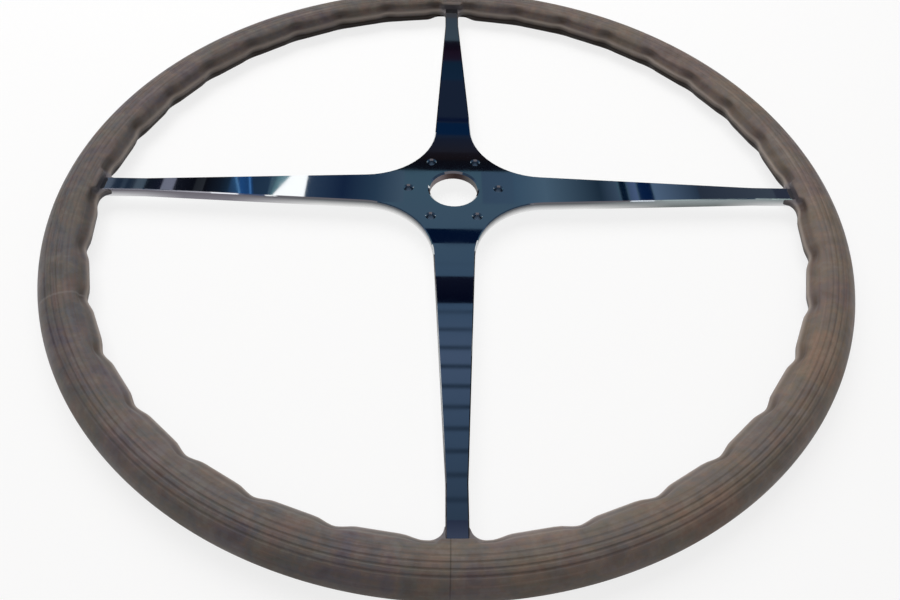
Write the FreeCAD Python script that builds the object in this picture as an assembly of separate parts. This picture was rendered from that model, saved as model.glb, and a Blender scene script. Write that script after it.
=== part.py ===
import FreeCAD, Part
import math
import os

from FreeCAD import Vector

# Boat steering wheel: a flat polished spider of four tapering arms, and a grip moulded in
# one piece round the ends of the arms. The grip has five grooves round its crown and finger
# bumps all along its inner side.
# Origin: centre of the hub bore, halfway through the plate. +Z runs along the bore towards
# the helmsman. One arm lies along -Y. Sizes in millimetres.

# Wheel and grip
wheel_diameter = 432.0
grip_width = 22.5
grip_depth = 19.6

# Grooves round the crown of the grip, counted from the outer one to the inner one
groove_count = 5
groove_pitch = 2.55
groove_width = 0.9
groove_depth = 0.55
groove_middle = -0.7

# The oval is turned in straight bands: on its plain outer and lower side, and where the
# finger bumps are cut
plain_bands = 11
inner_bands = 5
inner_step = 25.0

# Finger bumps: the valleys that part them, measured on the inner side of the grip
bump_pitch = 34.4
valley_depth = 1.5
valley_radius = 14.0
valley_upright = 3.0
valley_reach = 6.8
first_valley = 12.7

# Spider plate
arm_count = 4
plate_thickness = 6.0
arm_root_width = 26.7
arm_end_width = 9.3
arm_neck_start = 172.0
hub_fillet = 41.0
arm_anchor = 9.0
plate_chamfer = 0.5

# Hub
bore_diameter = 27.0
bore_chamfer = 1.0
bolt_circle = 50.8
bolt_count = 6
bolt_hole = 4.2
bolt_chamfer = 0.8

# Grip where an arm enters it
flare_radius = 5.0
flare_lip = 0.4
flare_setback = 0.8
flare_chamfer = 0.9
sleeve_rise = 1.1
sleeve_wall = 1.5

# Sizes that follow
half_width = grip_width / 2
half_depth = grip_depth / 2
ring_radius = wheel_diameter / 2 - half_width
plate_top = plate_thickness / 2
crest_radius = ring_radius - half_width
valley_floor = crest_radius + valley_depth
arm_tip = ring_radius - half_width + arm_anchor
up = Vector(0, 0, 1)
origin = Vector(0, 0, 0)


def turned(shape, degrees):
    """A copy of the shape, turned about the axis of the wheel."""
    copy = shape.copy()
    copy.rotate(origin, up, degrees)
    return copy


def arm_angles():
    return [270.0 + 360.0 * arm / arm_count for arm in range(arm_count)]


def oval_point(degrees, swell=1.0):
    """A point of the grip's oval section, counted from its outer side over the crown."""
    angle = math.radians(degrees)
    outward = half_width * swell * math.cos(angle)
    return Vector(ring_radius + outward, 0, half_depth * swell * math.sin(angle))


def crown_point(offset, depth=0.0):
    """A point on the crown, or at a depth below it, by its offset from the ring's middle."""
    height = half_depth * math.sqrt(1 - (offset / half_width) ** 2)
    outward = Vector(offset / half_width ** 2, 0, height / half_depth ** 2).normalize()
    return Vector(ring_radius + offset, 0, height) - outward * depth


def groove_points():
    """The crown from its outer groove to its inner one: a V for each groove."""
    first = groove_middle + groove_pitch * (groove_count - 1) / 2
    points = []
    for index in range(groove_count):
        middle = first - groove_pitch * index
        points.append(crown_point(middle + groove_width / 2))
        points.append(crown_point(middle, groove_depth))
        points.append(crown_point(middle - groove_width / 2))
    return points


def inner_points():
    """Corners of the bands on the inner side, which stand just off the oval all round."""
    first = 180 - inner_step * (inner_bands - 2) / 2
    swell = 1 / math.cos(math.radians(inner_step / 2))
    return [oval_point(first + inner_step * index, swell) for index in range(inner_bands - 1)]


def plain_points():
    """Corners of the bands from the inner side, underneath and up the outer side."""
    first = 360 - math.degrees(math.acos(-valley_reach / half_width))
    outer_groove = groove_middle + (groove_pitch * (groove_count - 1) + groove_width) / 2
    last = 360 + math.degrees(math.acos(outer_groove / half_width))
    step = (last - first) / plain_bands
    return [oval_point(first + step * index) for index in range(plain_bands)]


def grip_section():
    """The grip's section: an oval with a grooved crown."""
    corners = groove_points() + inner_points() + plain_points()
    return Part.Face(Part.makePolygon(corners + corners[:1]))


def valley_cutter():
    """A waisted cutter that stands inside the ring and bites one valley out of it."""
    reach = crown_point(-valley_reach)
    flare = (reach.x - valley_floor) / (reach.z - valley_upright)
    top = 2 * half_depth
    wide = valley_radius + flare * (top - valley_upright)
    half = [
        Vector(0, 0, -top),
        Vector(wide, 0, -top),
        Vector(valley_radius, 0, -valley_upright),
        Vector(valley_radius, 0, valley_upright),
        Vector(wide, 0, top),
        Vector(0, 0, top),
    ]
    cutter = Part.Face(Part.makePolygon(half + half[:1])).revolve(origin, up, 360)
    cutter.translate(Vector(valley_floor - valley_radius, 0, 0))
    return cutter


def valley_angles():
    """Where the valleys lie: one beside each arm, the others evenly between them."""
    bay = 360.0 / arm_count
    margin = math.degrees(first_valley / crest_radius)
    bumps = max(1, round(math.radians(bay - 2 * margin) * crest_radius / bump_pitch))
    step = (bay - 2 * margin) / bumps
    return [start + margin + step * index for start in arm_angles() for index in range(bumps + 1)]


def arm_profile():
    """Half of one arm along +X: its width falls from the hub to a parallel neck."""
    root = arm_root_width / 2
    end = arm_end_width / 2
    slope = (root - end) / arm_neck_start
    return root, end, slope


def spider_outline():
    """The outline of the plate: arms with parallel necks, and round fillets between them."""
    root, end, slope = arm_profile()
    half_angle = math.pi / arm_count
    slant = math.hypot(1, slope)
    reach = (hub_fillet * slant + root) / (math.sin(half_angle) + slope * math.cos(half_angle))
    centre = Vector(reach * math.cos(half_angle), reach * math.sin(half_angle), 0)
    leave = centre - Vector(slope, 1, 0) * (hub_fillet / slant)
    waist = centre * ((reach - hub_fillet) / reach)
    neck = Vector(arm_neck_start, end, 0)
    tip = Vector(arm_tip, end, 0)
    edges = []
    for angle in arm_angles():
        turn = FreeCAD.Rotation(up, angle)
        flip = [turn.multVec(Vector(p.x, -p.y, 0)) for p in (leave, neck, tip)]
        near = [turn.multVec(p) for p in (tip, neck, leave)]
        corners = flip + near
        edges += [Part.makeLine(a, b) for a, b in zip(corners, corners[1:])]
        following = FreeCAD.Rotation(up, angle + 360.0 / arm_count)
        arc_end = following.multVec(Vector(leave.x, -leave.y, 0))
        edges.append(Part.Arc(near[-1], turn.multVec(waist), arc_end).toShape())
    return Part.Wire(edges)


def hole_cutters(diameter, chamfer, both_faces):
    """A drill for a hole through the plate, and a cone for each chamfered face."""
    radius = diameter / 2
    wide = radius + plate_thickness
    cutters = [Part.makeCylinder(radius, 2 * plate_thickness, up * -plate_thickness)]
    cutters.append(Part.makeCone(radius, wide, plate_thickness, up * (plate_top - chamfer)))
    if both_faces:
        cutters.append(Part.makeCone(radius, wide, plate_thickness, up * (chamfer - plate_top), -up))
    return cutters


def make_spider():
    """The flat plate with its chamfered edges, its bore and its bolt holes."""
    plate = Part.Face(spider_outline()).extrude(up * plate_thickness)
    plate.translate(up * -plate_top)
    rims = [edge for edge in plate.Edges if abs(edge.BoundBox.ZLength) < 0.001]
    plate = plate.makeChamfer(plate_chamfer, rims)
    cutters = hole_cutters(bore_diameter, bore_chamfer, True)
    for cutter in hole_cutters(bolt_hole, bolt_chamfer, False):
        cutter.translate(Vector(bolt_circle / 2, 0, 0))
        cutters += [turned(cutter, 360.0 * index / bolt_count) for index in range(bolt_count)]
    return plate.cut(cutters)


def arm_flare():
    """The grip's concave flares on both sides of an arm along +X."""
    side = arm_end_width / 2
    spread = side + flare_lip + flare_radius
    tip = valley_floor - flare_radius
    start = Vector(valley_floor, spread, 0)
    end = Vector(tip, side + flare_lip, 0)
    diagonal = flare_radius * math.sqrt(0.5)
    middle = Vector(tip + diagonal, spread - diagonal, 0)
    inside = Vector(ring_radius, spread, 0)
    mirror = [Vector(p.x, -p.y, 0) for p in (inside, start, middle, end)]
    edges = [
        Part.makeLine(inside, start),
        Part.Arc(start, middle, end).toShape(),
        Part.makeLine(end, mirror[3]),
        Part.Arc(mirror[3], mirror[2], mirror[1]).toShape(),
        Part.makeLine(mirror[1], mirror[0]),
        Part.makeLine(mirror[0], inside),
    ]
    height = plate_thickness - 2 * flare_setback
    flare = Part.Face(Part.Wire(edges)).extrude(up * height)
    flare.translate(up * (flare_setback - plate_top))
    level = [edge for edge in flare.Edges if abs(edge.BoundBox.ZLength) < 0.001]
    rims = [edge for edge in level if edge.BoundBox.XMin < valley_floor - 0.01]
    return flare.makeChamfer(flare_chamfer, rims)


def arm_sleeve():
    """The low sleeve by which the grip climbs a little way up an arm along +X."""
    width = arm_end_width + 2 * sleeve_wall
    height = plate_thickness + 2 * sleeve_wall
    start = crest_radius - sleeve_rise
    return Part.makeBox(ring_radius - start, width, height, Vector(start, -width / 2, -height / 2))


def make_grip(spider):
    """The moulded grip, with pockets that are the ends of the arms themselves."""
    ring = grip_section().revolve(origin, up, 360)
    cutter = valley_cutter()
    ring = ring.cut([turned(cutter, angle) for angle in valley_angles()])
    pads = [arm_flare(), arm_sleeve()]
    ring = ring.fuse([turned(pad, angle) for pad in pads for angle in arm_angles()])
    return ring.cut(spider)


def main():
    os.makedirs("parts", exist_ok=True)
    spider = make_spider()
    grip = make_grip(spider)
    spider.exportStep("parts/spider.step")
    grip.exportStep("parts/grip_rim.step")


main()
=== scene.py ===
import math

import bpy
from mathutils import Matrix, Vector


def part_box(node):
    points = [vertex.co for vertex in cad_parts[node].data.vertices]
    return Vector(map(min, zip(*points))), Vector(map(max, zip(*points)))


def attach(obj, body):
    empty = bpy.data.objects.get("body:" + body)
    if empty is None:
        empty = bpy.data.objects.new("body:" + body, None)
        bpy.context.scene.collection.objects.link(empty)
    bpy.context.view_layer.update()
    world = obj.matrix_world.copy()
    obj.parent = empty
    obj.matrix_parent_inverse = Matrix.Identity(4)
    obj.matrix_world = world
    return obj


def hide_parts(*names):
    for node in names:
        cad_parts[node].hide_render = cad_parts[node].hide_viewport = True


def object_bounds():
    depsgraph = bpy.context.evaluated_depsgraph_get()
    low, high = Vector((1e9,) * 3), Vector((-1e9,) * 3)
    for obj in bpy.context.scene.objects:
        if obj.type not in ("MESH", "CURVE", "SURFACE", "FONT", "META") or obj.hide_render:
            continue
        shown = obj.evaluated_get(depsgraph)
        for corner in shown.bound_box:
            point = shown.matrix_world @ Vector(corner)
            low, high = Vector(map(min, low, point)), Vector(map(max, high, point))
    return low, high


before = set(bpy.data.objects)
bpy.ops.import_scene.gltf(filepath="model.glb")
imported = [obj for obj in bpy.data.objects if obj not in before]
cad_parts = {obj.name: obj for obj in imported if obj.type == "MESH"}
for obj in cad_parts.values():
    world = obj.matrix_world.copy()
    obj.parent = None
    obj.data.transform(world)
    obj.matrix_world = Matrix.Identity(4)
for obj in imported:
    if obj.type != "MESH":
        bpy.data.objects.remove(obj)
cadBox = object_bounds()
mm = 0.001


def hexColour(text):
    # sRGB hex to the linear colour that the shaders take
    parts = [int(text[i:i + 2], 16) / 255 for i in (0, 2, 4)]
    linear = [p / 12.92 if p <= 0.04045 else ((p + 0.055) / 1.055) ** 2.4 for p in parts]
    return (*linear, 1.0)


def addNode(tree, kind, sockets=None, **settings):
    # a node with its settings; a socket value may be another node's output
    node = tree.nodes.new(kind)
    for name, value in settings.items():
        setattr(node, name, value)
    for name, value in (sockets or {}).items():
        if isinstance(value, bpy.types.NodeSocket):
            tree.links.new(value, node.inputs[name])
        else:
            node.inputs[name].default_value = value
    return node


def newMaterial(name):
    material = bpy.data.materials.new(name)
    material.use_nodes = True
    material.node_tree.nodes.clear()
    return material, material.node_tree


def fillRamp(ramp, stops):
    # places from 0 to 1, each with its hex colour
    while len(ramp.elements) > 1:
        ramp.elements.remove(ramp.elements[0])
    ramp.elements[0].position = stops[0][0]
    ramp.elements[0].color = hexColour(stops[0][1])
    for place, colour in stops[1:]:
        ramp.elements.new(place).color = hexColour(colour)


def smoothStep(low, high, value):
    # 0 on the side of low, 1 on the side of high, and a soft climb between them
    share = min(1.0, max(0.0, (value - low) / (high - low)))
    return share * share * (3 - 2 * share)


def band(start, full, fading, end, value):
    # 0 outside start and end, 1 from full to fading
    return smoothStep(start, full, value) * (1 - smoothStep(fading, end, value))


def hump(middle, spread, value):
    return math.exp(-((value - middle) / spread) ** 2)


# Grip rim: lengths in mm, section angles in degrees from the outer side over the crown. Four
# section angles in a row are where something starts, is full, fades and ends.
gripRim = {
    "gripWidth": 22.5,
    "inset": (0.02, 0.01),         # how far it stays inside the solid, across and in depth
    "grooveCount": 5,
    "groovePitch": 2.48,
    "grooveWidth": 1.25,
    "grooveDepth": 0.21,
    "grooveWear": (0.85, 1.0, 0.95, 0.75, 0.5),    # from the outer groove to the inner one
    "grooveMiddle": -0.05,
    "armCount": 4,
    "bumpsPerBay": 8,
    "bumpCrown": 0.28,             # how far a finger bump swells in its middle
    "firstValley": 13.0,           # along the inner side, from the middle of an arm
    "valleyDepth": 1.6,
    "valleySlope": 0.27,
    "valleyBottom": 0.5,           # rounding of the bottom
    "valleyShoulder": 0.3,         # rounding of the two edges
    "valleyTop": (24.0, 56.0),     # degrees above the crest between which a valley fades out
    "valleyUnder": (36.0, 82.0),   # the same below the crest
    "scoop": (150.0, 8.5, 0.42),   # hollow above the crest: section angle, spread, depth
    "bead": (172.0, 8.0, 0.6),     # the crest itself: section angle, spread, height
    "undercut": ((182.0, 212.0, 238.0, 272.0), 1.5),       # below the crest, and how deep it is
    "armUndercut": ((186.0, 208.0, 234.0, 268.0), 3.0),    # more of it beside an arm
    "armUndercutEnd": (-1.6, 0.4),     # degrees past the first valley between which that fades
    "armZone": 4.5,                # degrees to each side of an arm that hold its flare and sleeve
    "armSection": (118.0, 242.0),  # section angles that hold them
    "armWidth": 9.3,
    "flareRise": 5.5,
    "flareReach": 6.5,
    "flareLip": 0.4,
    "flareUnder": (-2.4, -0.8),    # heights between which the flare begins
    "flareOver": (2.0, 2.95),      # and between which it ends
    "notchLift": 2.2,              # notch under an arm
    "notchSide": (9.0, 18.0),      # distances from the arm's middle between which it fades
    "notchUnder": (194.0, 216.0, 255.0, 300.0),
    "sleeveFront": 195.0,          # from the axis of the wheel
    "sleeveSide": (6.0, 8.6),      # distances from the arm's middle over which its side is rounded
    "sleeveTop": (6.1, 7.6),       # heights over which its top is rounded
    # spacing of the mesh: points across a groove in widths of it, rows down the inner side and
    # to which section angle, rows on the plain rest, and degrees from one column to the next
    "grooveRows": (0.62, 0.48, 0.34, 0.2, 0, -0.2, -0.34, -0.48, -0.62),
    "innerRows": (54, 232.0),
    "plainRows": 28,
    "armColumns": (3.4, 0.17),     # within so many degrees of an arm, and the step there
    "valleyColumns": (2.6, 0.45),  # the same for a valley
    "plainColumns": 0.9,
    # dirt, painted shade and a painted highlight, which the resin reads from the mesh
    # painted shade and dirt at the tops of the finger valleys, in the hollow above the crest and where an
    # arm goes in
    "valleyDirtAndShade": (128.0, 142.0, 150.0, 212.0),
    "hollowDirtAndShade": (153.0, 12.0),   # section angle and spread
    "armDirtAndShade": (136.0, 152.0, 205.0, 230.0),
    "armDirtAndShadeSide": (6.5, 10.5),    # distances from the arm's middle between which it fades
    "armDirtAndShadeHides": 0.7,           # how much of the dirt and painted shade of the valleys and the hollow it hides
    # a painted highlight along the crest, and painted shade underneath and low on the outer side
    "crestHighlight": (169.5, 6.0),   # section angle and spread
    "undersideShade": (177.0, 191.0, 255.0, 290.0),
    "outerSideShade": (35.0, -15.0),    # where it starts, and where it is full
    "girth": 66.0,                 # length that the streaks take once round the section
}


def valleyDip(rim, along):
    # depth of a finger valley at a distance along the rim from its middle
    bend = math.hypot(along * rim["valleySlope"], rim["valleyBottom"])
    raw = rim["valleyDepth"] - bend + rim["valleyBottom"]
    return 0.5 * (raw + math.hypot(raw, rim["valleyShoulder"]))


def armFlare(rim, side, height):
    # how far the moulding reaches in beside an arm
    edge = rim["armWidth"] / 2 + rim["flareLip"]
    gap = min(1.0, max(0.0, (edge + rim["flareReach"] - side) / rim["flareReach"]))
    flare = rim["flareRise"] * (1 - math.sqrt(1 - gap ** 2))
    return flare * band(*rim["flareUnder"], *rim["flareOver"], height)


def sleeveShare(rim, side, height):
    # 1 inside the low block by which the moulding climbs over an arm, 0 outside it
    return (1 - smoothStep(*rim["sleeveSide"], side)) * (1 - smoothStep(*rim["sleeveTop"], height))


def sectionSamples(rim, halfWidth):
    # section angles with the share of groove at each
    samples = []
    first = rim["grooveMiddle"] + rim["groovePitch"] * (rim["grooveCount"] - 1) / 2
    for index in range(rim["grooveCount"]):
        middle = first - rim["groovePitch"] * index
        for share in rim["grooveRows"]:
            angle = math.degrees(math.acos((middle + share * rim["grooveWidth"]) / halfWidth))
            sunk = math.cos(math.pi * min(0.5, abs(share)))
            samples.append((angle, rim["grooveWear"][index] * sunk))
    for rows, end in (rim["innerRows"], (rim["plainRows"], samples[0][0] + 360)):
        start = samples[-1][0]
        samples += [(start + (end - start) * (i + 1) / (rows + 1), 0.0) for i in range(rows)]
    return samples


def bayAngles(rim, crestRadius):
    # the columns of one bay, from one arm to the next, and where its valleys are, in degrees
    bay = 360 / rim["armCount"]
    margin = math.degrees(rim["firstValley"] / crestRadius)
    step = (bay - 2 * margin) / rim["bumpsPerBay"]
    valleys = [margin + step * i for i in range(rim["bumpsPerBay"] + 1)]
    armReach, armStep = rim["armColumns"]
    valleyReach, valleyStep = rim["valleyColumns"]
    tolerance = 0.01    # keeps the last column off the next bay's first
    angles = []
    angle = 0.0
    while angle < bay - tolerance:
        angles.append(angle)
        if min(angle, bay - angle) < armReach:
            angle += armStep
        elif min(abs(angle - v) for v in valleys) < valleyReach:
            angle += valleyStep
        else:
            angle += rim["plainColumns"]
    return angles, valleys, margin, step


def ovalPoint(rim, section, groove, halfWidth, halfDepth):
    # a point of the plain oval, sunk where it lies in a groove
    angle = math.radians(section)
    x = halfWidth * math.cos(angle)
    z = halfDepth * math.sin(angle)
    outX, outZ = x / halfWidth ** 2, z / halfDepth ** 2
    size = math.hypot(outX, outZ)
    x -= outX / size * rim["grooveDepth"] * groove
    z -= outZ / size * rim["grooveDepth"] * groove
    return x, z


def innerShape(rim, section, dip, crown, beside):
    # how far the inner side lies outside the plain oval
    fade = rim["valleyTop" if section < 180 else "valleyUnder"]
    shape = (dip - crown) * (1 - smoothStep(*fade, abs(section - 180)))
    *scoop, scoopDepth = rim["scoop"]
    *bead, beadHeight = rim["bead"]
    shape += scoopDepth * hump(*scoop, section) - beadHeight * hump(*bead, section)
    for (stretch, depth), share in ((rim["undercut"], 1.0), (rim["armUndercut"], beside)):
        shape += share * depth * band(*stretch, section)
    return shape


def dirtAndPaintedLight(rim, section, groove, valley, entered):
    # dirt and painted shade in groove, valley and hollow; a painted highlight on the crest, painted shade
    # underneath and low on the outer side; dirt and painted shade round an arm
    clear = 1 - rim["armDirtAndShadeHides"] * entered
    dirtAndShade = (groove, valley * band(*rim["valleyDirtAndShade"], section) * clear,
            hump(*rim["hollowDirtAndShade"], section) * clear)
    paintedLight = (hump(*rim["crestHighlight"], section), band(*rim["undersideShade"], section),
            smoothStep(*rim["outerSideShade"], (section + 90) % 360 - 90))
    return dirtAndShade, paintedLight, entered * band(*rim["armDirtAndShade"], section)


def wrapFaces(rows, columns):
    # four-sided faces between the columns, closed round the wheel and round the section
    faces = []
    for column in range(columns):
        here, there = column * rows, (column + 1) % columns * rows
        for row in range(rows):
            after = (row + 1) % rows
            faces.append((here + row, there + row, there + after, here + after))
    return faces


def makeGripRim(rim):
    low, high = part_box("grip_rim")
    outer = min(high[0], -low[0], high[1], -low[1]) / mm
    halfWidth = rim["gripWidth"] / 2
    halfDepth = min(high[2], -low[2]) / mm - rim["inset"][1]
    ringRadius = outer - halfWidth - rim["inset"][0]
    crestRadius = ringRadius - halfWidth
    sleeveFront = rim["sleeveFront"] - ringRadius
    armLow, armHigh = rim["armSection"]
    samples = sectionSamples(rim, halfWidth)
    angles, valleys, margin, step = bayAngles(rim, crestRadius)
    bay = 360 / rim["armCount"]
    verts, streakPlaces, dirtAndShadeMarks, paintedLights, armDirtAndShadeMarks = [], [], [], [], []
    for arm in range(rim["armCount"]):
        for angle in angles:
            turn = math.radians(arm * bay + angle)
            fromArm = min(angle, bay - angle)
            side = crestRadius * math.sin(math.radians(fromArm))
            fromValley = min(abs(angle - v) for v in valleys)
            dip = valleyDip(rim, math.radians(fromValley) * crestRadius)
            crown = rim["bumpCrown"] * smoothStep(0.0, step / 2, fromValley)
            if fromArm < margin:
                dip, crown = valleyDip(rim, 0.0), 0.0
            beside = 1 - smoothStep(*(margin + end for end in rim["armUndercutEnd"]), fromArm)
            notch = rim["notchLift"] * (1 - smoothStep(*rim["notchSide"], side))
            entered = 1 - smoothStep(*rim["armDirtAndShadeSide"], side)
            valley = min(1.0, dip / rim["valleyDepth"])
            for section, groove in samples:
                x, z = ovalPoint(rim, section, groove, halfWidth, halfDepth)
                x += innerShape(rim, section, dip, crown, beside)
                z += notch * band(*rim["notchUnder"], section)
                if fromArm < rim["armZone"] and armLow < section < armHigh:
                    x -= armFlare(rim, side, z)
                    if z > 0:
                        x -= max(0.0, x - sleeveFront) * sleeveShare(rim, side, z)
                radius = (ringRadius + x) * mm
                verts.append((radius * math.cos(turn), radius * math.sin(turn), z * mm))
                streakPlaces.append((ringRadius * mm * math.cos(turn), ringRadius * mm * math.sin(turn),
                                     section / 360 * rim["girth"] * mm))
                # dirt, painted shade and a painted highlight that the resin reads
                dirtAndShade, paintedLight, armDirtAndShade = dirtAndPaintedLight(rim, section, groove, valley, entered)
                dirtAndShadeMarks.append(dirtAndShade)
                paintedLights.append(paintedLight)
                armDirtAndShadeMarks.append(armDirtAndShade)
    faces = wrapFaces(len(samples), len(angles) * rim["armCount"])
    mesh = bpy.data.meshes.new("grip_rim_moulded")
    mesh.from_pydata(verts, [], faces)
    for name, values in (("streakPlace", streakPlaces), ("dirtAndShade", dirtAndShadeMarks), ("paintedLight", paintedLights)):
        attribute = mesh.attributes.new(name, "FLOAT_VECTOR", "POINT")
        attribute.data.foreach_set("vector", [v for value in values for v in value])
    mesh.attributes.new("armDirtAndShade", "FLOAT", "POINT").data.foreach_set("value", armDirtAndShadeMarks)
    mesh.polygons.foreach_set("use_smooth", [True] * len(mesh.polygons))
    mesh.update()
    grip = bpy.data.objects.new("grip_rim_moulded", mesh)
    bpy.context.collection.objects.link(grip)
    print("grip rim:", len(verts), "points,", len(faces) * 2, "triangles")
    return grip


# Aged moulded resin: the filler streaks it along the rim and hands leave it half dull. The crest carries a
# painted highlight, the grooves, valleys and hollow hold dirt and painted shade, and the underside and low
# outer side painted shade
rimResin = {
    # sizes of the patterns in mm
    "streakLength": 85.0,
    "streakWidth": 2.4,
    "blotch": 30.0,
    "fleck": 6.0,
    "drift": 190.0,
    "grain": 0.9,             # finer on the real moulding, drawn so that it shows
    "bumpDepth": 0.05,
    "grainShare": 0.35,       # of the relief, whose rest is streaks
    "roughness": (0.42, 0.6),
    "shine": (0.5, 0.02),     # specular level, clean and under the painted shade
    # greyer towards -X and browner towards +X: between which mm, from which share to which, and
    # how far the drift pattern shifts it
    "sideReach": (-200, 200),
    "sideShare": (0.15, 0.85),
    "sideDrift": 1.6,
    # the streaks and what is laid over them: the pattern, its share and its colours
    "tints": (
        ("streak", 1.0, ((0.32, "3c3238"), (0.40, "72544c"), (0.455, "676a73"), (0.50, "7d6a5d"),
                         (0.545, "63695d"), (0.60, "866659"), (0.70, "a0948e"))),
        ("blotch", 0.5, ((0.32, "4b3a3e"), (0.42, "665a6a"), (0.47, "7e6755"), (0.52, "656a6c"),
                         (0.57, "6e6b57"), (0.68, "99745b"))),
        ("fleck", 0.3, ((0.36, "4c3b36"), (0.46, "64676c"), (0.54, "83695a"), (0.64, "968c84"))),
        ("side", 0.36, ((0.1, "47464c"), (0.5, "6c625c"), (0.9, "85715f"))),
    ),
    # dirt, painted shade and a painted highlight: the mark it follows, the pattern that breaks it up and
    # between which values, the share that this leaves at each of them, and its colour
    "layers": (
        ("dirtAndShade", "Z", "blotch", (0.3, 0.7), (0.1, 0.3), "46382f"),         # painted shade and dirt in the hollow above the crest
        ("dirtAndShade", "Y", "fleck", (0.35, 0.65), (0.3, 0.75), "35271f"),       # painted shade and dirt in the finger valleys
        ("paintedLight", "X", "streak", (0.35, 0.65), (0.45, 0.95), "b3a79e"),     # painted highlight along the crest
        ("paintedLight", "Y", "blotch", (0.3, 0.7), (0.93, 0.87), "241a16"),       # painted shade on the underside
        ("paintedLight", "Z", "side", (0.3, 0.7), (0.92, 0.32), "4a3522"),         # painted shade on the outer side, low down
        ("armDirtAndShade", "Fac", "fleck", (0.35, 0.65), (0.5, 0.68), "5c5c67"),  # dirt and painted shade where an arm goes in
        ("dirtAndShade", "X", "alongY", (-0.2, 0.12), (0.26, 0.08), "2a2322"),     # painted shade and dirt in the grooves, less towards +Y
    ),
    # two hairline cross seams: degrees round the wheel, width in mm, share and colour
    "seams": ((269.2, 0.35, 0.5, "2e2624"), (204.0, 0.8, 0.3, "8f8987")),
    "seamRadius": 205,        # of the rim where the widths are true
}


def resinPatterns(tree, look, place, spot):
    # streaks that run along the rim, and clouds of several sizes that don't
    streak = addNode(tree, "ShaderNodeAttribute", attribute_name="streakPlace")
    along, across = 1000 / look["streakLength"], 1000 / look["streakWidth"]
    streakScale = addNode(tree, "ShaderNodeVectorMath", {
        0: streak.outputs["Vector"], 1: (along, along, across)}, operation="MULTIPLY")
    streaks = addNode(tree, "ShaderNodeTexNoise", {
        "Vector": streakScale.outputs[0], "Scale": 1.0, "Detail": 5.0, "Roughness": 0.62})
    patterns = {"streak": streaks.outputs["Fac"], "alongY": spot.outputs["Y"]}
    for name, detail in (("blotch", 4.0), ("fleck", 3.0), ("drift", 2.0), ("grain", 2.0)):
        noise = addNode(tree, "ShaderNodeTexNoise", {
            "Vector": place.outputs["Object"], "Scale": 1000 / look[name],
            "Detail": detail, "Roughness": 0.6})
        patterns[name] = noise.outputs["Fac"]
    (left, right), (least, most) = look["sideReach"], look["sideShare"]
    sideShare = addNode(tree, "ShaderNodeMapRange", {
        "Value": spot.outputs["X"], "From Min": left * mm, "From Max": right * mm,
        "To Min": least, "To Max": most})
    wander = addNode(tree, "ShaderNodeMath", {0: patterns["drift"], 1: 0.5}, operation="SUBTRACT")
    side = addNode(tree, "ShaderNodeMath", {
        0: wander.outputs[0], 1: look["sideDrift"], 2: sideShare.outputs["Result"]},
        operation="MULTIPLY_ADD")
    patterns["side"] = side.outputs[0]
    return patterns


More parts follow.
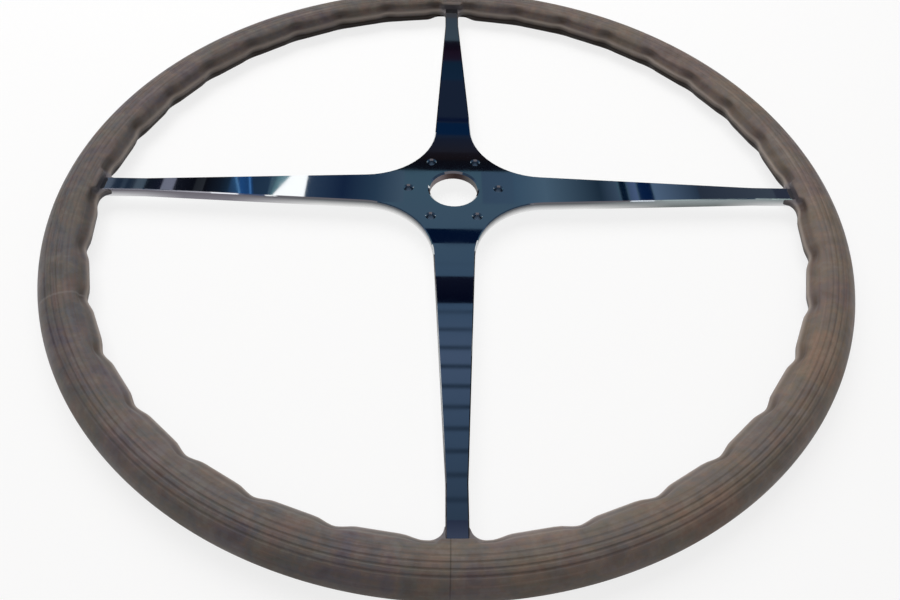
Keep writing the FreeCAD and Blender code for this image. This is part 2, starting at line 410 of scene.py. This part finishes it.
def mouldedResin(look):
    material, tree = newMaterial("mouldedResin")
    place = addNode(tree, "ShaderNodeTexCoord")
    spot = addNode(tree, "ShaderNodeSeparateXYZ", {"Vector": place.outputs["Object"]})
    patterns = resinPatterns(tree, look, place, spot)
    marks = {"armDirtAndShade": addNode(tree, "ShaderNodeAttribute", attribute_name="armDirtAndShade")}
    for name in ("dirtAndShade", "paintedLight"):
        mark = addNode(tree, "ShaderNodeAttribute", attribute_name=name)
        marks[name] = addNode(tree, "ShaderNodeSeparateXYZ", {"Vector": mark.outputs["Vector"]})

    base = None
    for pattern, share, stops in look["tints"]:
        tint = addNode(tree, "ShaderNodeValToRGB", {"Fac": patterns[pattern]})
        fillRamp(tint.color_ramp, stops)
        under = base or tint.outputs["Color"]
        mix = addNode(tree, "ShaderNodeMix", {
            "Factor": share, "A": under, "B": tint.outputs["Color"]}, data_type="RGBA")
        base = mix.outputs["Result"]
    for mark, part, pattern, (low, high), (first, last), colour in look["layers"]:
        strength = addNode(tree, "ShaderNodeMapRange", {
            "Value": patterns[pattern], "From Min": low, "From Max": high, "To Min": first, "To Max": last})
        share = addNode(tree, "ShaderNodeMath", {
            0: marks[mark].outputs[part], 1: strength.outputs["Result"]}, operation="MULTIPLY")
        mix = addNode(tree, "ShaderNodeMix", {
            "Factor": share.outputs[0], "A": base, "B": hexColour(colour)}, data_type="RGBA")
        base = mix.outputs["Result"]
    # the angle round the wheel goes from -180 to 180 degrees, and the seams lie past 180
    around = addNode(tree, "ShaderNodeMath", {
        0: spot.outputs["Y"], 1: spot.outputs["X"]}, operation="ARCTAN2")
    for degrees, width, depth, colour in look["seams"]:
        offset = addNode(tree, "ShaderNodeMath", {
            0: around.outputs[0], 1: math.radians(degrees - 360)}, operation="SUBTRACT")
        size = addNode(tree, "ShaderNodeMath", {0: offset.outputs[0]}, operation="ABSOLUTE")
        share = addNode(tree, "ShaderNodeMapRange", {
            "Value": size.outputs[0], "From Min": width / 2 / look["seamRadius"],
            "From Max": width / look["seamRadius"], "To Min": depth, "To Max": 0.0})
        mix = addNode(tree, "ShaderNodeMix", {
            "Factor": share.outputs["Result"], "A": base, "B": hexColour(colour)}, data_type="RGBA")
        base = mix.outputs["Result"]

    relief = addNode(tree, "ShaderNodeMix", {
        "Factor": look["grainShare"], "A": patterns["streak"], "B": patterns["grain"]}, data_type="FLOAT")
    bump = addNode(tree, "ShaderNodeBump", {
        "Height": relief.outputs["Result"], "Strength": 0.6, "Distance": look["bumpDepth"] * mm})
    smooth, dull = look["roughness"]
    rough = addNode(tree, "ShaderNodeMapRange", {
        "Value": patterns["blotch"], "From Min": 0.3, "From Max": 0.7, "To Min": smooth, "To Max": dull})
    # the specular level drops where the underside and the outer side low down are painted in shade
    paintedShade = addNode(tree, "ShaderNodeMath", {
        0: marks["paintedLight"].outputs["Y"], 1: marks["paintedLight"].outputs["Z"]}, operation="MAXIMUM")
    clean, shaded = look["shine"]
    gloss = addNode(tree, "ShaderNodeMapRange", {
        "Value": paintedShade.outputs[0], "To Min": clean, "To Max": shaded})
    shader = addNode(tree, "ShaderNodeBsdfPrincipled", {
        "Base Color": base, "Roughness": rough.outputs["Result"], "IOR": 1.5,
        "Specular IOR Level": gloss.outputs["Result"], "Normal": bump.outputs["Normal"]})
    addNode(tree, "ShaderNodeOutputMaterial", {"Surface": shader.outputs["BSDF"]})
    return material


# Chromed steel, buffed to a mirror: sharp reflections, a little wavy where it was polished by hand. The
# walls carry a painted reflection, the walls of the holes carry painted shade, and the plate's edges are
# satin.
plateChrome = {
    "chrome": "c9ccce",
    "wave": 34.0,             # mm, as the next two
    "waveDepth": 0.008,
    "smear": 26.0,
    "roughness": (0.018, 0.045),
    "edgeRoughness": 0.22,
    "holeRoughness": 0.42,
    "wallFacing": 0.4,        # a surface that faces up or down less than this is a wall
    "holeReach": 29.0,        # from the axis of the wheel, with every hole inside it
    "boreReach": 18.0,        # the same for the bore alone
    # where on the walls: measured how, and in mm from where to where the share goes from 0 to 1
    "shares": (
        ("down", "height", 1.8, -2.6),
        ("across", "side", -100, 100),
        ("out", "radius", 75, 125),
        ("neck", "radius", 150, 190),
        ("bore", "side", -8, 10),
    ),
    # painted shade on the wall of the bore, darkest just past its middle and lightest towards -X
    "boreTones": ((0.0, "7a7072"), (0.28, "4c3f3d"), (0.5, "392d2b"), (0.72, "3f3435"),
                  (1.0, "63605f")),
    # each tone: the share that it follows, and the colours or tones that it goes from and to.
    # The walls carry a painted reflection: dark under the upper edge, and bright low down at the hub and
    # necks.
    "tones": (
        ("hubWall", "down", "5f6266", "f4f4f4"),
        ("leftWall", "down", "6e6b73", "84828a"),
        ("rightWall", "down", "8f989a", "6b706f"),
        ("armWall", "across", "leftWall", "rightWall"),
        ("neckWall", "neckFoot", "armWall", "e8e8ea"),
        ("edgeWall", "out", "hubWall", "neckWall"),
        # painted shade in the bolt holes
        ("holeWall", "bolt", "boreWall", "4b5d72"),
        ("anyWall", "hole", "edgeWall", "holeWall"),
        ("surface", "wall", "chrome", "anyWall"),
    ),
}


def buffedChrome(look):
    material, tree = newMaterial("buffedChrome")
    place = addNode(tree, "ShaderNodeTexCoord")
    spot = addNode(tree, "ShaderNodeSeparateXYZ", {"Vector": place.outputs["Object"]})
    wave = addNode(tree, "ShaderNodeTexNoise", {
        "Vector": place.outputs["Object"], "Scale": 1000 / look["wave"], "Detail": 1.0})
    smear = addNode(tree, "ShaderNodeTexNoise", {
        "Vector": place.outputs["Object"], "Scale": 1000 / look["smear"], "Detail": 4.0, "Roughness": 0.65})
    bump = addNode(tree, "ShaderNodeBump", {
        "Height": wave.outputs["Fac"], "Strength": 1.0, "Distance": look["waveDepth"] * mm})
    flat = addNode(tree, "ShaderNodeVectorMath", {
        0: place.outputs["Object"], 1: (1, 1, 0)}, operation="MULTIPLY")
    radius = addNode(tree, "ShaderNodeVectorMath", {0: flat.outputs[0]}, operation="LENGTH")
    facing = addNode(tree, "ShaderNodeSeparateXYZ", {"Vector": place.outputs["Normal"]})
    slope = addNode(tree, "ShaderNodeMath", {0: facing.outputs["Z"]}, operation="ABSOLUTE")

    measures = {"height": spot.outputs["Z"], "side": spot.outputs["X"], "radius": radius.outputs["Value"]}
    shares = {}
    for name, value, operation, limit in (
            ("wall", slope.outputs[0], "LESS_THAN", look["wallFacing"]),
            ("hole", measures["radius"], "LESS_THAN", look["holeReach"] * mm),
            ("bolt", measures["radius"], "GREATER_THAN", look["boreReach"] * mm)):
        share = addNode(tree, "ShaderNodeMath", {0: value, 1: limit}, operation=operation)
        shares[name] = share.outputs[0]
    for name, measure, low, high in look["shares"]:
        share = addNode(tree, "ShaderNodeMapRange", {
            "Value": measures[measure], "From Min": low * mm, "From Max": high * mm})
        shares[name] = share.outputs["Result"]
    for name, first, second in (("neckFoot", "neck", "down"), ("holeWall", "wall", "hole")):
        both = addNode(tree, "ShaderNodeMath", {
            0: shares[first], 1: shares[second]}, operation="MULTIPLY")
        shares[name] = both.outputs[0]

    # painted shade on the wall of the bore
    boreShade = addNode(tree, "ShaderNodeValToRGB", {"Fac": shares["bore"]})
    fillRamp(boreShade.color_ramp, look["boreTones"])
    tones = {"boreWall": boreShade.outputs["Color"], "chrome": hexColour(look["chrome"])}
    for name, share, first, second in look["tones"]:
        mix = addNode(tree, "ShaderNodeMix", {
            "Factor": shares[share],
            "A": tones[first] if first in tones else hexColour(first),
            "B": tones[second] if second in tones else hexColour(second)}, data_type="RGBA")
        tones[name] = mix.outputs["Result"]

    sharp, soft = look["roughness"]
    rough = addNode(tree, "ShaderNodeMapRange", {
        "Value": smear.outputs["Fac"], "From Min": 0.35, "From Max": 0.7, "To Min": sharp, "To Max": soft})
    satin = addNode(tree, "ShaderNodeMix", {
        "Factor": shares["wall"], "A": rough.outputs["Result"], "B": look["edgeRoughness"]},
        data_type="FLOAT")
    finish = addNode(tree, "ShaderNodeMix", {
        "Factor": shares["holeWall"], "A": satin.outputs["Result"], "B": look["holeRoughness"]},
        data_type="FLOAT")
    shader = addNode(tree, "ShaderNodeBsdfPrincipled", {
        "Base Color": tones["surface"], "Metallic": 1.0, "Roughness": finish.outputs["Result"],
        "Normal": bump.outputs["Normal"]})
    addNode(tree, "ShaderNodeOutputMaterial", {"Surface": shader.outputs["BSDF"]})
    return material


grip = makeGripRim(gripRim)
grip.data.materials.append(mouldedResin(rimResin))
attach(grip, "root")
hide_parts("grip_rim")
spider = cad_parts["spider"]
spider.data.materials.clear()
spider.data.materials.append(buffedChrome(plateChrome))
print("object ready")

# Camera: mm, degrees and pixels
wheelCamera = {
    "place": (-8.8, -270.7, 252.4),
    "aim": (1.6, -79.5, 3.0),
    "roll": 3.055,
    "focalPixels": 642.45,
    "shiftPixels": -8.2,
    "imageWidth": 900,
}


def placeCamera(view):
    data = bpy.data.cameras.new("wheelCamera")
    data.sensor_width = 36
    data.lens = view["focalPixels"] * data.sensor_width / view["imageWidth"]
    data.shift_x = view["shiftPixels"] / view["imageWidth"]
    data.clip_start = 0.01
    place = Vector(view["place"]) * mm
    forward = (Vector(view["aim"]) * mm - place).normalized()
    right = forward.cross(Vector((0, 0, 1))).normalized()
    upward = right.cross(forward)
    roll = math.radians(view["roll"])
    tiltedRight = right * math.cos(roll) + upward * math.sin(roll)
    tiltedUp = upward * math.cos(roll) - right * math.sin(roll)
    camera = bpy.data.objects.new("wheelCamera", data)
    camera.matrix_world = Matrix((
        (tiltedRight.x, tiltedUp.x, -forward.x, place.x),
        (tiltedRight.y, tiltedUp.y, -forward.y, place.y),
        (tiltedRight.z, tiltedUp.z, -forward.z, place.z),
        (0, 0, 0, 1)))
    bpy.context.collection.objects.link(camera)
    bpy.context.scene.camera = camera


placeCamera(wheelCamera)
print("camera ready")

# Studio: a white floor, one large soft lamp from the far side, and cards overhead that the
# mirror finish shows
studio = {
    "floorSize": 40.0,        # m
    "floorColour": "8a8885",  # what the floor gives back to the object
    "floorShadow": 0.2,       # how much of the seen floor is paint that takes a shadow
    "ambient": "888583",      # light on the object from all round
    "lampPower": 13.5,
    "lampPlace": (-0.2, 0.62, 1.05),
    "lampSize": 1.1,
    "cardHeight": 0.99,
    "cardStep": 0.001,        # how far each card lies below the one before
}


def seenRays(tree):
    # 1 for rays from the camera, off metal and through glass, 0 for light that bounces softly
    path = addNode(tree, "ShaderNodeLightPath")
    seen = addNode(tree, "ShaderNodeMath", {
        0: path.outputs["Is Camera Ray"], 1: path.outputs["Is Glossy Ray"]}, operation="MAXIMUM")
    shown = addNode(tree, "ShaderNodeMath", {
        0: seen.outputs[0], 1: path.outputs["Is Transmission Ray"]}, operation="MAXIMUM")
    return shown.outputs[0]


def whiteWorld(look):
    world = bpy.data.worlds.new("whiteWorld")
    bpy.context.scene.world = world
    world.use_nodes = True
    tree = world.node_tree
    tree.nodes.clear()
    colour = addNode(tree, "ShaderNodeMix", {
        "Factor": seenRays(tree), "A": hexColour(look["ambient"]), "B": (1, 1, 1, 1)}, data_type="RGBA")
    light = addNode(tree, "ShaderNodeBackground", {"Color": colour.outputs["Result"], "Strength": 1.0})
    addNode(tree, "ShaderNodeOutputWorld", {"Surface": light.outputs["Background"]})


def paintedFloor(look):
    # white to look at, partly from paint that takes the object's shadow
    material, tree = newMaterial("paintedFloor")
    shown = seenRays(tree)
    colour = addNode(tree, "ShaderNodeMix", {
        "Factor": shown, "A": hexColour(look["floorColour"]), "B": (1, 1, 1, 1)}, data_type="RGBA")
    paint = addNode(tree, "ShaderNodeBsdfDiffuse", {"Color": colour.outputs["Result"]})
    white = addNode(tree, "ShaderNodeEmission", {"Color": (1, 1, 1, 1), "Strength": 1.0})
    share = addNode(tree, "ShaderNodeMath", {0: shown, 1: 1 - look["floorShadow"]}, operation="MULTIPLY")
    surface = addNode(tree, "ShaderNodeMixShader", {
        0: share.outputs[0], 1: paint.outputs["BSDF"], 2: white.outputs["Emission"]})
    addNode(tree, "ShaderNodeOutputMaterial", {"Surface": surface.outputs["Shader"]})
    return material


def addFloor(look):
    half = look["floorSize"] / 2
    level = cadBox[0][2]
    corners = [(-half, -half, level), (half, -half, level), (half, half, level), (-half, half, level)]
    mesh = bpy.data.meshes.new("floor")
    mesh.from_pydata(corners, [], [(0, 1, 2, 3)])
    mesh.materials.append(paintedFloor(look))
    floor = bpy.data.objects.new("floor", mesh)
    bpy.context.collection.objects.link(floor)


def addLamp(look):
    data = bpy.data.lights.new("softLamp", "AREA")
    data.size = look["lampSize"]
    data.energy = look["lampPower"]
    lamp = bpy.data.objects.new("softLamp", data)
    lamp.location = look["lampPlace"]
    lamp.rotation_euler = (-lamp.location).to_track_quat("-Z", "Y").to_euler()
    lamp.visible_glossy = False
    bpy.context.collection.objects.link(lamp)


# Cards, where the plate shows them from the camera: mm from the hub along an arm, the colours
# that show at the two ends, and on some how far the outer and the inner end slant
cards = {
    "left": [
        (28, 44, "3d4f60", "25384c"),
        (44, 62, "25384c", "13223b"),
        (62, 82, "13223b", "293a50"),
        (92, 102, "86a8b4", "45656f", 3, 8),
        (82.7, 102.3, "ffffff", "ffffff", 12.5),
        (103, 126, "213449", "16263a"),
        (109.5, 117, "173459", "1d4577", -6, -6),
        (117, 123, "24466a", "22364f", -8, -8),
        (110.7, 111.7, "3f6fa6", "3f6fa6", -5.6, -5.6),
        (116.1, 117.3, "4f7ba6", "4f7ba6", -8.4, -8.4),
        (125, 130.5, "18293a", "121a26"),
        (130.5, 139, "121a26", "0b0c13"),
        (139, 144.3, "26292f", "1d2026"),
        (144.3, 155.2, "0a0c14", "12151e"),
        (155.2, 162.2, "6c6e7e", "6a6d7c"),
        (162.2, 171.5, "151826", "10161f"),
        (171.5, 177.1, "43505d", "434f5b"),
        (177.1, 179.5, "27303d", "222d3b"),
        (179.5, 181.7, "1b2737", "1b2737"),
        (181.7, 184.2, "303c4b", "303c4b"),
        (184.2, 188.9, "1a2636", "222e3e"),
        (188.9, 210, "4b5564", "515b69"),
    ],
    "right": [
        (16, 34, "34465a", "364a5e"),
        (34, 52, "364c60", "43586a"),
        (52, 83, "43586a", "1c2b3a"),
        (83, 93.5, "1c2b3a", "38485b"),
        (94.8, 98.8, "020f22", "051629"),
        (99.7, 104.6, "3a4b66", "48597a"),
        (105.4, 113.3, "0a1f40", "031636"),
        (113.8, 140, "4d6078", "263344"),
        (140, 184, "272f3d", "38404c"),
        (184, 210, "2a303e", "2a303e"),
    ],
    "near": [
        (31.6, 42.2, "020f26", "051027"),
        (64.5, 81.6, "0d101f", "030616"),
        (187, 196, "272e41", "3c4457"),
    ],
    "far": [
        (14.5, 151.5, "172031", "172031"),
        (14.5, 24, "0a0b14", "0c0d13"),
        (24, 31, "130f12", "16141a"),
        (31, 44, "1c1c24", "161c2b"),
        (47, 59, "061c38", "061c38"),
        (60, 64, "0a132a", "0a132a"),
        (104, 126, "122337", "0f2133"),
        (127, 140, "1b1524", "190f1c"),
        (140, 151.5, "120b17", "11101b"),
        (151.5, 182.5, "37444f", "343e48"),
        (182.5, 210, "3a3b40", "323337"),
    ],
}
# and how far they reach across it
cardReach = {"left": (-12, 14), "right": (-12, 14), "near": (-60, 60), "far": (-140, 140)}

# Panels behind the camera, which show in the near chamfers and in the far sides of the holes:
# each row's two edges along Y, then the two edges of each panel along X and its colour
behind = (
    ((-412, -400), (
        (-203, -151, "a8a4ac"),
        (-151, -136, "f0eef4"),
        (-136, -121.5, "35486a"),
        (-121.5, -115.5, "ffffff"),
        (117, 130, "e8f0fa"),
        (130, 172, "98a4a4"),
        (172, 196, "b9c9c2"),
    )),
    ((-440, -340), (
        (-135, 135, "625e63"),
    )),
)

# Slatted ceiling above all the cards, with a thin dark line at every joint
slats = {
    "reach": 1250,
    "pitch": 10.25,
    "first": 5.5,
    "line": "222f3f",
    "lineStops": ((0.04, "ffffff"), (0.17, "000000"), (0.83, "000000"), (0.96, "ffffff")),
    "fade": (-50, -110),      # from where to where the lines come in
    "tints": ((-190, "2b394a"), (-150, "34455a"), (-112, "404f66"), (-80, "33475d"),
              (-20, "3a4e5f"), (20, "38505f")),
}

# The chrome takes part of the light, so the cards are that much brighter
cardLight = 1 / hexColour(plateChrome["chrome"])[1]


def cardMesh(name, corners, colours, height):
    # a level card that the plate shows between these corners, given in mm on the plate
    eye = Vector(wheelCamera["place"]) * mm
    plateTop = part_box("spider")[1][2]
    spread = (eye.z + height - 2 * plateTop) / (eye.z - plateTop)
    points = [(eye.x + (x * mm - eye.x) * spread, eye.y + (y * mm - eye.y) * spread, height)
              for x, y in corners]
    mesh = bpy.data.meshes.new(name)
    mesh.from_pydata(points, [], [(0, 1, 2, 3)])
    places = mesh.attributes.new("platePlace", "FLOAT_VECTOR", "POINT")
    places.data.foreach_set("vector", [v for x, y in corners for v in (x, y, 0.0)])
    shown = mesh.attributes.new("cardColour", "FLOAT_VECTOR", "POINT")
    shown.data.foreach_set("vector", [v for colour in colours for v in hexColour(colour)[:3]])
    card = bpy.data.objects.new(name, mesh)
    card.visible_camera = False
    card.visible_diffuse = False
    card.visible_shadow = False
    bpy.context.collection.objects.link(card)
    return mesh


def cardPaint():
    material, tree = newMaterial("cardPaint")
    colour = addNode(tree, "ShaderNodeAttribute", attribute_name="cardColour")
    light = addNode(tree, "ShaderNodeEmission", {
        "Color": colour.outputs["Vector"], "Strength": cardLight})
    addNode(tree, "ShaderNodeOutputMaterial", {"Surface": light.outputs["Emission"]})
    return material


def slattedPaint(look):
    material, tree = newMaterial("slattedPaint")
    place = addNode(tree, "ShaderNodeAttribute", attribute_name="platePlace")
    parts = addNode(tree, "ShaderNodeSeparateXYZ", {"Vector": place.outputs["Vector"]})
    first, last = look["tints"][0][0], look["tints"][-1][0]
    along = addNode(tree, "ShaderNodeMapRange", {
        "Value": parts.outputs["Y"], "From Min": first, "From Max": last})
    tint = addNode(tree, "ShaderNodeValToRGB", {"Fac": along.outputs["Result"]})
    fillRamp(tint.color_ramp, [((y - first) / (last - first), colour) for y, colour in look["tints"]])
    # at scale 1 the wave turns by 20 radians in each unit
    joints = addNode(tree, "ShaderNodeTexWave", {
        "Vector": place.outputs["Vector"], "Scale": math.tau / 20 / look["pitch"],
        "Phase Offset": -math.tau * look["first"] / look["pitch"]},
        wave_type="BANDS", bands_direction="Y", wave_profile="SAW")
    line = addNode(tree, "ShaderNodeValToRGB", {"Fac": joints.outputs["Fac"]})
    fillRamp(line.color_ramp, look["lineStops"])
    dim, full = look["fade"]
    fade = addNode(tree, "ShaderNodeMapRange", {
        "Value": parts.outputs["Y"], "From Min": dim, "From Max": full})
    share = addNode(tree, "ShaderNodeMath", {
        0: line.outputs["Color"], 1: fade.outputs["Result"]}, operation="MULTIPLY")
    paint = addNode(tree, "ShaderNodeMix", {
        "Factor": share.outputs[0], "A": tint.outputs["Color"], "B": hexColour(look["line"])},
        data_type="RGBA")
    light = addNode(tree, "ShaderNodeEmission", {
        "Color": paint.outputs["Result"], "Strength": cardLight})
    addNode(tree, "ShaderNodeOutputMaterial", {"Surface": light.outputs["Emission"]})
    return material


def addCards(look):
    height = look["cardHeight"]
    reach = slats["reach"]
    corners = [(-reach, -reach), (reach, -reach), (reach, reach), (-reach, reach)]
    ceiling = cardMesh("slattedCeiling", corners, ["000000"] * 4, height)
    ceiling.materials.append(slattedPaint(slats))
    paint = cardPaint()
    for side, entries in cards.items():
        low, high = cardReach[side]
        turn = -1 if side in ("left", "near") else 1
        for index, (start, end, inner, outer, *slant) in enumerate(entries):
            height -= look["cardStep"]
            if side in ("left", "right"):
                endSlant, startSlant = (slant + [0, 0])[:2]
                corners = [(turn * start, low), (turn * end, low),
                           (turn * (end - endSlant), high), (turn * (start - startSlant), high)]
            else:
                corners = [(low, turn * start), (low, turn * end), (high, turn * end), (high, turn * start)]
            card = cardMesh(f"{side}Card{index}", corners, [inner, outer, outer, inner], height)
            card.materials.append(paint)
    for (low, high), panels in behind:
        for left, right, colour in panels:
            corners = [(left, low), (right, low), (right, high), (left, high)]
            card = cardMesh(f"behindCard{left}", corners, [colour] * 4, height)
            card.materials.append(paint)


whiteWorld(studio)
addFloor(studio)
addLamp(studio)
addCards(studio)
bpy.context.scene.view_settings.view_transform = "Standard"
print("studio ready")
